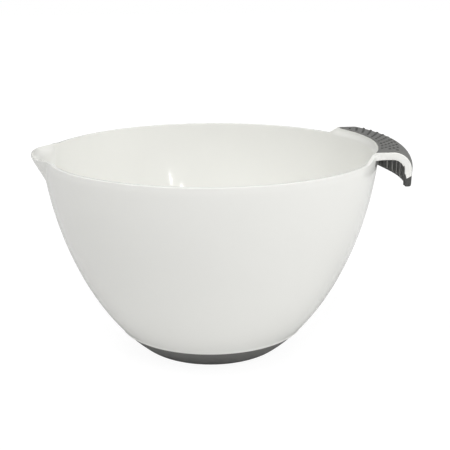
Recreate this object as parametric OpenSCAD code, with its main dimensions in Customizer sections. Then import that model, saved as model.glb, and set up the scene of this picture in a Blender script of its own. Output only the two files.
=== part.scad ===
// Batter bowl: a moulded bowl with a broad pouring lip, a hooked handle in a soft grip, and a soft foot.
// Millimetres. The origin is on the bowl's axis at the surface it stands on, +Z up, +X to the handle.

/* [Bowl] */
// Outer radius of the bowl at its plain rim
rim_r = 118; // [100:0.5:140]
// Height of the plain rim above the table
bowl_h = 144.3; // [120:0.1:180]
// Lean of the wall from upright at the rim, in degrees
rim_lean = 5; // [2:0.5:10]
// Lean of the wall from upright where the rounded foot edge starts, in degrees
edge_lean = 52.5; // [44:0.5:60]
// Outer radius of the wall where the rounded foot edge starts
edge_r = 51.5; // [42:0.5:62]
// Radius of the rounded foot edge
edge_round = 20; // [12:0.5:28]
// Thickness of the wall at the rim
rim_wall = 2.6; // [2:0.1:4]
// Thickness of the wall at the floor
floor_wall = 4; // [3.2:0.1:6]

/* [Spout] */
// Reach of the lip past the plain rim
spout_reach = 7.4; // [5:0.1:14]
// Radius of the lip in plan
lip_plan_r = 54; // [48:1:76]
// Rise of the lip above the plain rim
spout_rise = 2.4; // [0.5:0.1:5]
// Lean of the spout's front from upright, in degrees
spout_lean = 29.5; // [24:0.5:40]
// Half width of the level part of the lip
lip_level = 38; // [24:0.5:48]
// Run of each ramp from the lip down to the plain rim
lip_ramp = 16; // [5:0.5:24]

/* [Handle] */
// Rise of the handle's top above the plain rim
handle_rise = 5.7; // [3:0.1:12]
// Width of the handle between its end faces
handle_w = 105.5; // [76:0.5:120]
// Run of each ramp from the handle's top down to the plain rim
handle_ramp = 15; // [6:0.5:24]
// Reach of the flat top past the plain rim, up to the bend
top_reach = 10.3; // [6:0.1:24]
// Outer radius of the bend from the flat top into the skirt
bend_r = 12.9; // [8:0.1:16]
// Thickness of the handle over its end ribs
handle_t = 4.8; // [4.5:0.1:7]
// Drop of the end ribs below the handle's top
rib_drop = 18.3; // [15:0.1:26]
// Width of each end rib along the rim
rib_w = 2; // [1.5:0.1:5]

/* [Grip] */
// Thickness of the soft layer over the web and of the lining under it
grip_t = 1.4; // [1:0.1:1.8]
// Drop of the soft tip below the end ribs, at its two ends
tip_drop = 5.4; // [3:0.1:9]
// Further drop of the soft tip in its middle
tip_bow = 3.2; // [0:0.1:4]
// Width of the rigid lip that shows between the soft top and the bowl's inside
lip_show = 2; // [0.6:0.1:2.4]
// Length of lining that laps down the bowl's wall
lining_lap = 4.5; // [2:0.1:8]
// Spacing of the ribs on the lining along the skirt
lining_pitch = 10; // [6:0.5:16]
// Width of each rib on the lining
lining_rib_w = 1.4; // [0.8:0.1:2.5]
// Height of each rib on the lining
lining_rib_h = 0.6; // [0.3:0.1:1.2]

/* [Foot] */
// Height of the soft foot's upper edge above the table
foot_h = 17.2; // [10:0.1:26]
// Thickness of the soft foot
foot_t = 1.8; // [1.2:0.1:2.4]
// Width of the flat ring that touches the table
land_w = 7; // [4:0.5:14]

/* [Hidden] */
$fn = 96;
// Segments along the wall curve, round the foot edge, along a ramp or bow and round a small corner
wall_steps = 28;
edge_steps = 8;
ramp_steps = 12;
corner_steps = 6;
// How far a cut runs past the face that it opens
overrun = 2;
// Pulls of the wall curve at its two ends, as shares of the bowl's height
rim_pull_share = 0.4;
edge_pull_share = 0.3;
// Halvings of the search for a height on the wall curve
search_steps = 24;
// Sweep of the handle past its end faces, as a share of the angle to them
sweep_margin_share = 1.15;
// Radius inside the bend, as a share of the one that would keep the thickness even
bend_in_share = 0.8;
// The V at the end of each rib: its point and its two flanks, as shares of the handle's thickness
vee_point_share = 0.3;
vee_inner_share = 0.6;
vee_outer_share = 0.4;
// Taper of the soft tip and the radius of its lower corners, as shares of the handle's thickness
tip_taper_share = 0.12;
tip_round_share = 0.28;

edge_z = edge_round * (1 - sin(edge_lean));
land_r = edge_r - edge_round * cos(edge_lean);
// The four poles of the wall curve in the plane of radius and height
wall_poles = [
    [rim_r, bowl_h],
    [rim_r, bowl_h] - rim_pull_share * bowl_h * [sin(rim_lean), cos(rim_lean)],
    [edge_r, edge_z] + edge_pull_share * bowl_h * [sin(edge_lean), cos(edge_lean)],
    [edge_r, edge_z]
];

top_z = bowl_h + handle_rise;
tall_z = top_z + overrun;
web_t = handle_t - 2 * grip_t;
bend_at = rim_r + top_reach;
skirt_r = bend_at + bend_r;
skirt_in_r = skirt_r - handle_t;
tip_z = top_z - rib_drop - tip_drop;
lip_r = wall_at(0, rim_wall)[0] + handle_rise * tan(rim_lean) + lip_show;
handle_half_angle = asin(handle_w / 2 / (rim_r - 2 * rim_wall)) * sweep_margin_share;
grip_w = handle_w - 2 * rib_w;
foot_share = share_at(foot_h, 0, 1, search_steps);
spout_depth = (spout_reach + 4 * rim_wall) / (tan(spout_lean) - tan(rim_lean));
lining_step = lining_pitch / skirt_in_r * 180 / PI;
lining_count = floor(asin(grip_w / 2 / skirt_in_r) / lining_step);

// Point on the cubic wall curve, from the rim at s = 0 to the foot edge at s = 1
function wall_curve(s) =
    pow(1 - s, 3) * wall_poles[0] + 3 * s * pow(1 - s, 2) * wall_poles[1]
    + 3 * s * s * (1 - s) * wall_poles[2] + pow(s, 3) * wall_poles[3];

// Direction of the wall curve at s, down along the wall
function wall_way(s) =
    pow(1 - s, 2) * (wall_poles[1] - wall_poles[0]) + 2 * s * (1 - s) * (wall_poles[2] - wall_poles[1])
    + s * s * (wall_poles[3] - wall_poles[2]);

// Point on the wall curve moved inward by depth, square to the wall
function wall_at(s, depth) =
    let (way = wall_way(s) / norm(wall_way(s)))
    wall_curve(s) + depth * [way[1], -way[0]];

// Place on the wall curve where it passes a given height, found by halving
function share_at(height, low, high, steps) =
    let (mid = (low + high) / 2)
    steps == 0 ? mid
    : wall_curve(mid)[1] > height ? share_at(height, mid, high, steps - 1)
    : share_at(height, low, mid, steps - 1);

// Points down the wall from one place to another, at a depth that runs from one value to the next
function wall_points(from, to, depth_from, depth_to) =
    [for (i = [0 : wall_steps])
        let (part = i / wall_steps)
        wall_at(from + (to - from) * part, depth_from + (depth_to - depth_from) * part)];

// Points round the foot edge at a depth, from where the wall ends to the flat underside
function edge_points(depth) =
    [for (i = [1 : edge_steps])
        let (turn = edge_lean + (90 - edge_lean) * i / edge_steps)
        [land_r, edge_round] + (edge_round - depth) * [cos(turn), -sin(turn)]];

// Points of an arc about a centre
function arc_points(centre, radius, from, to) =
    [for (i = [0 : corner_steps])
        let (turn = from + (to - from) * i / corner_steps)
        centre + radius * [cos(turn), sin(turn)]];

// A list of points from last to first
function reversed(points) = [for (i = [len(points) - 1 : -1 : 0]) points[i]];

// The wall carried on above the plain rim, along its own lean
function wall_top(depth) =
    let (rim = wall_at(0, depth))
    [rim[0] + (tall_z - rim[1]) * tan(rim_lean), tall_z];

// Everything inside the outer face of the rigid bowl, stepped in behind the soft foot
module outer_section() {
    polygon(concat(
        [[0, tall_z], wall_top(0)],
        wall_points(0, foot_share, 0, 0),
        wall_points(foot_share, 1, foot_t, foot_t),
        edge_points(foot_t),
        [[0, foot_t]]
    ));
}

// The room inside the bowl
module inner_section() {
    polygon(concat(
        [[0, tall_z + overrun], wall_top(rim_wall) + [0, overrun]],
        wall_points(0, 1, rim_wall, floor_wall),
        edge_points(floor_wall),
        [[0, floor_wall]]
    ));
}

// A vertical cone under the pouring lip, set inward by a depth
module spout_cone(depth, extra) {
    lip = lip_plan_r - depth / cos(spout_lean);
    slope = tan(spout_lean);
    translate([lip_plan_r - rim_r - spout_reach, 0, bowl_h + spout_rise - spout_depth])
        cylinder(h = spout_depth + extra, r1 = lip - spout_depth * slope, r2 = lip + extra * slope);
}

// All that lies above the full-round plain rim, in section
module above_plain_rim() {
    rim_half = rim_wall / cos(rim_lean) / 2;
    rim_mid = wall_at(0, rim_wall / 2) - [0, rim_half];
    polygon(concat(
        [rim_mid + [2 * rim_wall + spout_reach, 0]],
        arc_points(rim_mid, rim_half, 0, 180),
        [rim_mid - [2 * rim_wall, 0]],
        [[rim_mid[0] - 2 * rim_wall, 2 * tall_z], [rim_mid[0] + 2 * rim_wall + spout_reach, 2 * tall_z]]
    ));
}

// Side view of a raised stretch of rim, whose ramps grow out of the plain rim
module raised_view(rise, level, ramp) {
    low = bowl_h - rim_wall;
    climb = [for (i = [0 : ramp_steps])
        [level + ramp * (1 - i / ramp_steps), low + (bowl_h + rise - low) * (1 - cos(180 * i / ramp_steps)) / 2]];
    fall = [for (i = [0 : ramp_steps]) let (p = climb[ramp_steps - i]) [-p[0], p[1]]];
    polygon(concat([[level + ramp, low - rim_wall]], climb, fall, [[-level - ramp, low - rim_wall]]));
}

// A side view carried along X
module along_x(from, to) {
    translate([from, 0, 0])
        rotate([90, 0, 90])
            linear_extrude(to - from)
                children();
}

// A section turned about the bowl's axis over the handle, between two planes square to the rim
module over_handle(width) {
    intersection() {
        rotate([0, 0, -handle_half_angle])
            rotate_extrude(angle = 2 * handle_half_angle)
                children();
        translate([0, -width / 2, 0])
            cube([2 * skirt_r, width, 2 * top_z]);
    }
}

// The stretch of over_handle at the two end ribs only
module at_end_ribs() {
    difference() {
        over_handle(handle_w)
            children();
        translate([0, -grip_w / 2, 0])
            cube([2 * skirt_r, grip_w, 2 * top_z]);
    }
}

// Section of a hook: flat top, bend and skirt, from one depth under the outer face to another
module hook_section(depth, thick, drop) {
    start = rim_r - rim_wall / 2;
    outer = bend_r - depth;
    inner = outer - thick;
    tight = (1 - bend_in_share) * (bend_r - handle_t);
    translate([start, top_z - depth - thick])
        square([bend_at - start, thick]);
    translate([bend_at, top_z - bend_r])
        intersection() {
            difference() {
                circle(outer);
                translate([tight, tight])
                    circle(inner - tight);
                translate([-overrun, -overrun])
                    square([overrun + tight, overrun + inner]);
                translate([-overrun, -overrun])
                    square([overrun + inner, overrun + tight]);
            }
            square(2 * bend_r);
        }
    translate([bend_at + outer - thick, top_z - drop])
        square([thick, drop - bend_r]);
}

// End rib: the whole thickness of the hook, ending in a V that points down
module rib_section() {
    vee = rib_drop - vee_inner_share * handle_t;
    hook_section(0, handle_t, vee);
    polygon([
        [skirt_in_r, top_z - vee],
        [skirt_in_r + vee_point_share * handle_t, top_z - rib_drop],
        [skirt_r, top_z - rib_drop + vee_outer_share * handle_t],
        [skirt_r, top_z - vee]
    ]);
}

// The soft tip below the web and the end ribs, tapered and rounded at its lower corners
module tip_section() {
    round_r = tip_round_share * handle_t;
    taper = tip_taper_share * handle_t;
    upper_z = top_z - rib_drop + vee_inner_share * handle_t;
    low = tip_z - tip_bow;
    difference() {
        polygon(concat(
            [[skirt_in_r, upper_z]],
            arc_points([skirt_in_r + round_r, low + round_r], round_r, 180, 270),
            arc_points([skirt_r - taper - round_r, low + round_r], round_r, 270, 360),
            [[skirt_r, upper_z]]
        ));
        rib_section();
    }
}

// Side view of the soft tip and the lining: its lower edge bows down between the two ends
module tip_view() {
    bow = [for (i = [-ramp_steps : ramp_steps])
        let (part = i / ramp_steps)
        [handle_w / 2 * part, tip_z - tip_bow * (1 - part * part)]];
    polygon(concat(bow, [[handle_w / 2, top_z], [-handle_w / 2, top_z]]));
}

// The white web inside the grip
module web_section() {
    hook_section(grip_t, web_t, rib_drop - grip_t);
}

// The step in the raised rim that the soft top fills
module rim_step_section() {
    translate([lip_r, top_z - grip_t])
        square([bend_at - lip_r, grip_t + 2 * overrun]);
}

// The soft wrap round the web: top, lining and the lap down the bowl's wall
module grip_section() {
    difference() {
        union() {
            hook_section(0, handle_t, rib_drop);
            translate([lip_r, top_z - grip_t])
                square([bend_at - lip_r, grip_t]);
            translate([rim_r - rim_wall, top_z - handle_t])
                square([rim_wall + grip_t, grip_t]);
        }
        web_section();
        difference() {
            outer_section();
            rim_step_section();
        }
    }
}

// The lap of the lining down the bowl's wall
module lap_section() {
    difference() {
        translate([rim_r - rim_wall, top_z - handle_t - lining_lap])
            square([rim_wall + grip_t, lining_lap]);
        outer_section();
    }
}

// Upright ribs on the inner face of the skirt
module lining_ribs() {
    low = tip_z - tip_bow + tip_round_share * handle_t;
    high = top_z - bend_r;
    for (i = [-lining_count : lining_count])
        rotate([0, 0, i * lining_step])
            translate([skirt_in_r - lining_rib_h, -lining_rib_w / 2, low])
                cube([lining_rib_h + grip_t / 2, lining_rib_w, high - low]);
}

// The rigid bowl: shell, pouring lip and raised rim
module bowl() {
    color("whitesmoke")
        difference() {
            union() {
                rotate_extrude()
                    outer_section();
                spout_cone(0, 0);
            }
            rotate_extrude()
                inner_section();
            spout_cone(rim_wall, tall_z - bowl_h);
            difference() {
                rotate_extrude()
                    above_plain_rim();
                along_x(-2 * rim_r, 0)
                    raised_view(spout_rise, lip_level, lip_ramp);
                along_x(0, 2 * rim_r)
                    raised_view(handle_rise, handle_w / 2, handle_ramp);
            }
            over_handle(grip_w)
                rim_step_section();
        }
}

// The rigid frame of the hooked handle, moulded on the raised rim: a web inside the grip and two end ribs
module handle_frame() {
    color("whitesmoke")
        difference() {
            union() {
                over_handle(handle_w - rib_w)
                    web_section();
                at_end_ribs()
                    rib_section();
            }
            rotate_extrude()
                outer_section();
        }
}

// The soft grip, one piece moulded round the web
module handle_grip() {
    color("dimgray") {
        over_handle(grip_w)
            grip_section();
        over_handle(handle_w)
            lap_section();
        intersection() {
            union() {
                over_handle(handle_w)
                    tip_section();
                lining_ribs();
            }
            along_x(0, 2 * skirt_r)
                tip_view();
        }
    }
}

// The soft foot, flush with the wall above it and flat underneath
module foot_ring() {
    color("dimgray")
        rotate_extrude()
            polygon(concat(
                wall_points(foot_share, 1, 0, 0),
                edge_points(0),
                [[land_r - land_w, 0], [land_r - land_w, foot_t]],
                reversed(concat(wall_points(foot_share, 1, foot_t, foot_t), edge_points(foot_t)))
            ));
}

bowl();
handle_frame();
handle_grip();
foot_ring();
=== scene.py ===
"""Looks of a batter bowl: a white moulded bowl, a soft grey grip on its hooked handle and a soft grey foot.

Every size is in metres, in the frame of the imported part: Z up from the table, X from the axis to the handle.
The far end of the handle is at positive Y, and the near end, towards the camera, at negative Y.
"""

import logging
import math
from dataclasses import dataclass, field
from enum import Enum

import bmesh
import bpy
import numpy as np
from mathutils import Matrix, Vector


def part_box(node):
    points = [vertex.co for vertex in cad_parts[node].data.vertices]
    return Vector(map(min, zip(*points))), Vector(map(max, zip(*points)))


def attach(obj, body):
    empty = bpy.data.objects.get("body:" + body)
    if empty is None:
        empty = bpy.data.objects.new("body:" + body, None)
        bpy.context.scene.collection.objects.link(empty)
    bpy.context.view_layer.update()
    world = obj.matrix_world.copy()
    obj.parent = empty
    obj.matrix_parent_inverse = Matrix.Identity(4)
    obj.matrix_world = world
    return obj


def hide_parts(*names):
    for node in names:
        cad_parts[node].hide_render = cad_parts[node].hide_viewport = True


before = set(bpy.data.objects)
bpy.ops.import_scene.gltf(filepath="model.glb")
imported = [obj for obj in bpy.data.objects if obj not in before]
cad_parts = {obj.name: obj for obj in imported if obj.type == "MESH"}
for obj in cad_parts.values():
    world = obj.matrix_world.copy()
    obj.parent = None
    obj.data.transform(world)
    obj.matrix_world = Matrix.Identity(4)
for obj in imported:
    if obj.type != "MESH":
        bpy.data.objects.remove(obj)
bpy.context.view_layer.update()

LOG = logging.getLogger("batter_bowl")
Array = np.ndarray
MM = 0.001
QUARTER_TURN = math.pi / 2.0
UP = np.array([0.0, 0.0, 1.0])
# Painted shade that leaves a finish's colour as it is: below it paints shade, above it paints light.
PLAIN_SHADE = 0.5
SHARP_ANGLE = math.radians(40.0)
# Points closer than the first are one, and edges shorter than the second are taken out.
WELD_GAP = 1e-6
SLIVER_GAP = 1e-7
# Keeps a normal of no length from a division by nought.
TINY = 1e-12
# Step along the wall curve over which its speed is taken.
SMALL_SHARE = 0.001
# Points of a quarter round, and the cut at its middle: about one less the cosine of an eighth turn.
ROUND_STEPS = 7
ROUND_MIDDLE_SHARE = 0.3
ROOT = "root"


class Node(Enum):
    """The CAD nodes that the pieces here stand for."""

    BOWL = "bowl"
    FRAME = "handle_frame"
    GRIP = "handle_grip"
    FOOT = "foot_ring"


class Slot(Enum):
    """The record's material slots."""

    WHITE = "white_plastic"
    GRIP = "grey_soft_grip"
    FOOT = "grey_soft_foot"


def smoothstep(value: Array) -> Array:
    """Ease from 0 to 1: three times the square less twice the cube, on a value held between 0 and 1."""
    held = np.clip(value, 0.0, 1.0)
    return held * held * (3.0 - 2.0 * held)


def smooth_max(first: Array, second: Array, width: float) -> Array:
    """The larger of two surfaces, with the corner between them rounded.

    Args:
        first: One surface.
        second: The other surface.
        width: Difference within which the corner is rounded.

    Returns:
        The maximum plus a quarter of the width times the squared share of the corner.
    """
    share = np.maximum(width - np.abs(first - second), 0.0) / width
    return np.maximum(first, second) + share * share * width / 4.0


def unit(vectors: Array) -> Array:
    """Vectors along the last axis, each divided by its length."""
    return vectors / np.linalg.norm(vectors, axis=-1, keepdims=True)


def arc(centre: tuple[float, float], radius: float, start: float, end: float, count: int) -> Array:
    """Points on an arc in a section plane.

    Args:
        centre: Radius and height of the arc's centre.
        radius: Radius of the arc.
        start: First angle from the outward direction, in radians.
        end: Last angle, in radians.
        count: Number of points.

    Returns:
        Points of radius and height: the centre plus the radius times the cosine and sine of the angle.
    """
    turn = np.linspace(start, end, count)
    return np.array(centre) + radius * np.stack([np.cos(turn), np.sin(turn)], axis=1)


def line(start: tuple[float, float], end: tuple[float, float], count: int) -> Array:
    """Evenly spaced points on a straight line in a plane, both ends included."""
    return np.linspace(start, end, count)


def grid_faces(rows: int, cols: int, wrap_rows: bool = False) -> Array:
    """Quads of a grid of points whose last column joins the first.

    Args:
        rows: Number of rows.
        cols: Number of columns.
        wrap_rows: Whether the last row joins the first too.

    Returns:
        Point numbers, four to a quad: each cell's corners in turn.
    """
    below = np.arange(rows if wrap_rows else rows - 1)[:, None]
    above = (below + 1) % rows
    left = np.arange(cols)
    right = np.roll(left, -1)
    corners = [below * cols + left, below * cols + right, above * cols + right, above * cols + left]
    return np.stack(corners, axis=-1).reshape(-1, 4)


def copies_faces(count: int, rows: int, cols: int) -> Array:
    """Quads of several grids of one size, whose points follow one another."""
    starts = np.arange(count)[:, None, None] * rows * cols
    return (starts + grid_faces(rows, cols)).reshape(-1, 4)


def end_quads(rows: int, cols: int) -> Array:
    """Quads that close a grid's first and last row, each between the two halves of the row.

    Args:
        rows: Number of rows.
        cols: Number of columns, an even number.

    Returns:
        Point numbers, four to a quad: two neighbours on one half and the two across from them.
    """
    cell = np.arange(cols // 2 - 1)
    first = np.stack([cell, cell + 1, cols - 2 - cell, cols - 1 - cell], axis=1)
    return np.concatenate([first, (rows - 1) * cols + first[:, ::-1]])


def end_fans(rows: int, cols: int) -> Array:
    """Triangles that close a grid's first and last row, each from the row's first point.

    Args:
        rows: Number of rows.
        cols: Number of columns.

    Returns:
        Point numbers, three to a triangle: the row's first point and two neighbours.
    """
    cell = np.arange(1, cols - 1)
    first = np.stack([np.zeros_like(cell), cell, cell + 1], axis=1)
    return np.concatenate([first, (rows - 1) * cols + first[:, ::-1]])


@dataclass
class Surface:
    """Points and faces of a piece, with a painted shade at each point: a half is the finish's own colour, less
    paints shade and more paints light.
    """

    points: Array
    quads: Array
    triangles: Array = field(default_factory=lambda: np.empty((0, 3), dtype=int))
    shade: Array | float = PLAIN_SHADE

    def __post_init__(self) -> None:
        """Puts the points in one row and gives each its shade."""
        self.points = self.points.reshape(-1, 3)
        self.shade = np.broadcast_to(self.shade, len(self.points))

    def joined(self, *others: "Surface") -> "Surface":
        """This surface and others as one.

        Args:
            others: Surfaces to add.

        Returns:
            All points in order, with each surface's point numbers moved on by the points before it.
        """
        parts = (self, *others)
        starts = np.cumsum([0] + [len(part.points) for part in parts[:-1]])
        return Surface(
            np.concatenate([part.points for part in parts]),
            np.concatenate([part.quads + start for part, start in zip(parts, starts)]),
            np.concatenate([part.triangles + start for part, start in zip(parts, starts)]),
            np.concatenate([part.shade for part in parts]))

    def mirrored(self) -> "Surface":
        """The surface at the handle's other end: its distances across the handle with the sign changed."""
        return Surface(self.points * np.array([1.0, -1.0, 1.0]), self.quads, self.triangles, self.shade)

    def piece(self, name: str) -> bpy.types.Object:
        """Puts the surface into a mesh object that sits at the origin.

        Args:
            name: Name of the piece.

        Returns:
            The piece, welded, with its faces outward and shaded smooth. Its UV map holds the painted shade and
            light.
        """
        mesh = bpy.data.meshes.new(name)
        mesh.from_pydata(self.points.tolist(), [], self.quads.tolist() + self.triangles.tolist())
        corner = np.empty(len(mesh.loops), dtype=np.int32)
        mesh.loops.foreach_get("vertex_index", corner)
        uv = np.stack([self.shade[corner], np.zeros(len(corner))], axis=1)
        mesh.uv_layers.new(name="shade").data.foreach_set("uv", uv.ravel())
        work = bmesh.new()
        work.from_mesh(mesh)
        bmesh.ops.remove_doubles(work, verts=work.verts, dist=WELD_GAP)
        bmesh.ops.dissolve_degenerate(work, edges=work.edges, dist=SLIVER_GAP)
        bmesh.ops.recalc_face_normals(work, faces=work.faces)
        work.to_mesh(mesh)
        work.free()
        mesh.polygons.foreach_set("use_smooth", np.ones(len(mesh.polygons), dtype=bool))
        mesh.set_sharp_from_angle(angle=SHARP_ANGLE)
        mesh.update()
        holder = bpy.data.objects.new(name, mesh)
        bpy.context.scene.collection.objects.link(holder)
        return holder


def turned(section: Array, turn: Array) -> Array:
    """A section turned about the bowl's axis.

    Args:
        section: Points of radius and height.
        turn: Angles of the columns.

    Returns:
        A grid of points: the radius times the cosine and sine of the turn, and the height.
    """
    radius, height = section[:, :1], section[:, 1:]
    level = np.broadcast_to(height, (len(section), len(turn)))
    return np.stack([radius * np.cos(turn), radius * np.sin(turn), level], axis=-1)


def outline_normals(outline: Array) -> Array:
    """Outward normals of a closed outline that runs clockwise, with radius to the right and height up."""
    along = np.roll(outline, -1, axis=0) - np.roll(outline, 1, axis=0)
    return unit(np.stack([-along[:, 1], along[:, 0]], axis=1) + TINY)


def swept(
        outline: Array, stations: Array, proud: Array, sag: Array | float = 0.0, fan: bool = False,
        shade: Array | float = PLAIN_SHADE) -> Surface:
    """A closed outline carried across the handle, concentric with the rim.

    A point of the outline at radius r and station y goes to the place (sqrt(r^2 - y^2), y, height), after it
    has moved along the outline's normal by the given amount and down by its sag.

    Args:
        outline: Points of radius and height, clockwise, the outer side first and then the inner side back.
        stations: Distances across the handle.
        proud: How far each point stands out of the outline, one row for each station.
        sag: How far each point hangs below the outline, one row for each station.
        fan: Whether the ends are closed by triangles from the first point. The other way is quads between the
            two sides, which then have as many points each.
        shade: Painted shade of the points, which lightens them above a half.

    Returns:
        The surface.
    """
    moved = outline + proud[..., None] * outline_normals(outline)
    across = np.broadcast_to(stations[:, None], proud.shape)
    points = np.stack([np.sqrt(moved[..., 0] ** 2 - across ** 2), across, moved[..., 1] - sag], axis=-1)
    sides = grid_faces(*proud.shape)
    if fan:
        return Surface(points, sides, end_fans(*proud.shape), shade)
    return Surface(points, np.concatenate([sides, end_quads(*proud.shape)]), shade=shade)


def rounded_ends(
        low: float, high: float, radius: float, count: int, both: bool = True) -> tuple[Array, Array]:
    """Stations between two ends, with how far the outline draws in where an end is rounded.

    Args:
        low: First end.
        high: Last end, which is rounded.
        radius: Radius of the rounded edge.
        count: Number of stations between the rounded ends.
        both: Whether the first end is rounded too.

    Returns:
        The stations and the inset at each: the radius times one less the cosine over a quarter turn.
    """
    turn = np.linspace(0.0, QUARTER_TURN, ROUND_STEPS)[1:]
    out, drawn = radius * np.sin(turn), radius * (1.0 - np.cos(turn))
    middle = np.linspace(low + radius * both, high - radius, count)
    stations = np.concatenate([middle, middle[-1] + out])
    inset = np.concatenate([np.zeros(count), drawn])
    if both:
        stations = np.concatenate([middle[0] - out[::-1], stations])
        inset = np.concatenate([drawn[::-1], inset])
    return stations, inset


@dataclass(frozen=True)
class WallCurve:
    """The bowl's outer wall in section: a cubic from the rim down to the rounded foot edge."""

    rim_r: float
    height: float
    foot_h: float = 16.6 * MM
    rim_lean: float = math.radians(5.0)
    edge_lean: float = math.radians(52.5)
    edge_r: float = 51.5 * MM
    edge_round: float = 20.0 * MM
    rim_pull_share: float = 0.4
    edge_pull_share: float = 0.3
    table_rows: int = 2001

    @property
    def land_r(self) -> float:
        """Radius where the foot edge has turned flat."""
        return self.edge_r - self.edge_round * math.cos(self.edge_lean)

    @property
    def foot_share(self) -> float:
        """Place along the cubic of the parting with the soft foot."""
        return float(self.share_at(self.foot_h))

    def poles(self) -> Array:
        """The poles of the cubic.

        Returns:
            Four points of radius and height: the two ends, and between them each end moved along the wall by
            its pull.
        """
        rim = np.array([self.rim_r, self.height])
        edge = np.array([self.edge_r, self.edge_round * (1.0 - math.sin(self.edge_lean))])
        rim_way = np.array([math.sin(self.rim_lean), math.cos(self.rim_lean)])
        edge_way = np.array([math.sin(self.edge_lean), math.cos(self.edge_lean)])
        rim_pull = self.rim_pull_share * self.height
        edge_pull = self.edge_pull_share * self.height
        return np.array([rim, rim - rim_pull * rim_way, edge + edge_pull * edge_way, edge])

    def at(self, share: Array, depth: Array | float = 0.0) -> Array:
        """Points on the wall, moved inward square to it.

        Args:
            share: Places along the cubic, 0 at the rim and 1 at the foot edge.
            depth: How far inward.

        Returns:
            Points of radius and height: the cubic's four poles, weighted, plus the depth along the normal.
        """
        done = np.asarray(share)[:, None]
        rest = 1 - done
        rim, upper, lower, edge = self.poles()
        point = (
            rest ** 3 * rim + 3 * done * rest ** 2 * upper
            + 3 * done ** 2 * rest * lower + done ** 3 * edge)
        way = unit(rest ** 2 * (upper - rim) + 2 * done * rest * (lower - upper) + done ** 2 * (edge - lower))
        inward = np.stack([way[:, 1], -way[:, 0]], axis=1)
        return point + np.broadcast_to(depth, len(done))[:, None] * inward

    def speed(self, share: float, step: float) -> float:
        """Length of wall to a unit of share, over a small step from a place along it."""
        near, far = self.at(np.array([share, share + step]))
        return float(np.linalg.norm(far - near) / abs(step))

    def table(self) -> tuple[Array, Array]:
        """Places along the wall from the foot edge up, and their points."""
        share = np.linspace(1.0, 0.0, self.table_rows)
        return share, self.at(share)

    def share_at(self, height: Array | float) -> Array:
        """Places along the cubic where the wall passes given heights."""
        share, points = self.table()
        return np.interp(height, points[:, 1], share)

    def radius_at(self, height: Array) -> Array:
        """Radius of the wall at given heights.

        Args:
            height: Heights.

        Returns:
            The radius from the table, carried on straight above the rim.
        """
        points = self.table()[1]
        above = np.maximum(height - self.height, 0.0)
        return np.interp(height, points[:, 1], points[:, 0]) + above * math.tan(self.rim_lean)

    def foot_edge(self, count: int, depth: float) -> Array:
        """Points round the foot edge at a depth, from the wall down to the flat."""
        centre = (self.land_r, self.edge_round)
        return arc(centre, self.edge_round - depth, -self.edge_lean, -QUARTER_TURN, count)


@dataclass(frozen=True)
class Spout:
    """The pouring lip: a broad swelling of the wall opposite the handle, straight down its front."""

    reach: float
    step_rise: float = 1.1 * MM
    swell_rise: float = 0.43 * MM
    half_turn: float = math.radians(15.4)
    fullness: float = 3.46
    lean: float = math.radians(29.4)
    corner: float = 0.6 * MM
    corner_in: float = 8.0 * MM
    level_turn: float = math.radians(18.0)
    step_turn: float = math.radians(24.5)
    swell_turn: float = math.radians(40.0)

    @property
    def rise(self) -> float:
        """Rise of the lip above the plain rim."""
        return self.step_rise + self.swell_rise

    def lift(self, turn: Array) -> Array:
        """Rise of the rim beside the lip.

        Args:
            turn: Angles from the lip's middle.

        Returns:
            The sum of a short ease at the lip's root and a long one before it.
        """
        step = smoothstep((self.step_turn - turn) / (self.step_turn - self.level_turn))
        swell = smoothstep((self.swell_turn - turn) / (self.swell_turn - self.level_turn))
        return self.step_rise * step + self.swell_rise * swell

    def radius(self, turn: Array, drop: Array, rim_r: float) -> Array:
        """Radius of the lip's front.

        Args:
            turn: Angles from the lip's middle.
            drop: Depths below the lip's edge, one row for each height.
            rim_r: Radius of the plain rim.

        Returns:
            The rim's radius plus the reach, which falls off as a power of the turn, less the front's lean.
        """
        plan = 1.0 - (turn / self.half_turn) ** self.fullness
        return rim_r + self.reach * plan - drop * math.tan(self.lean)


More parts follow.
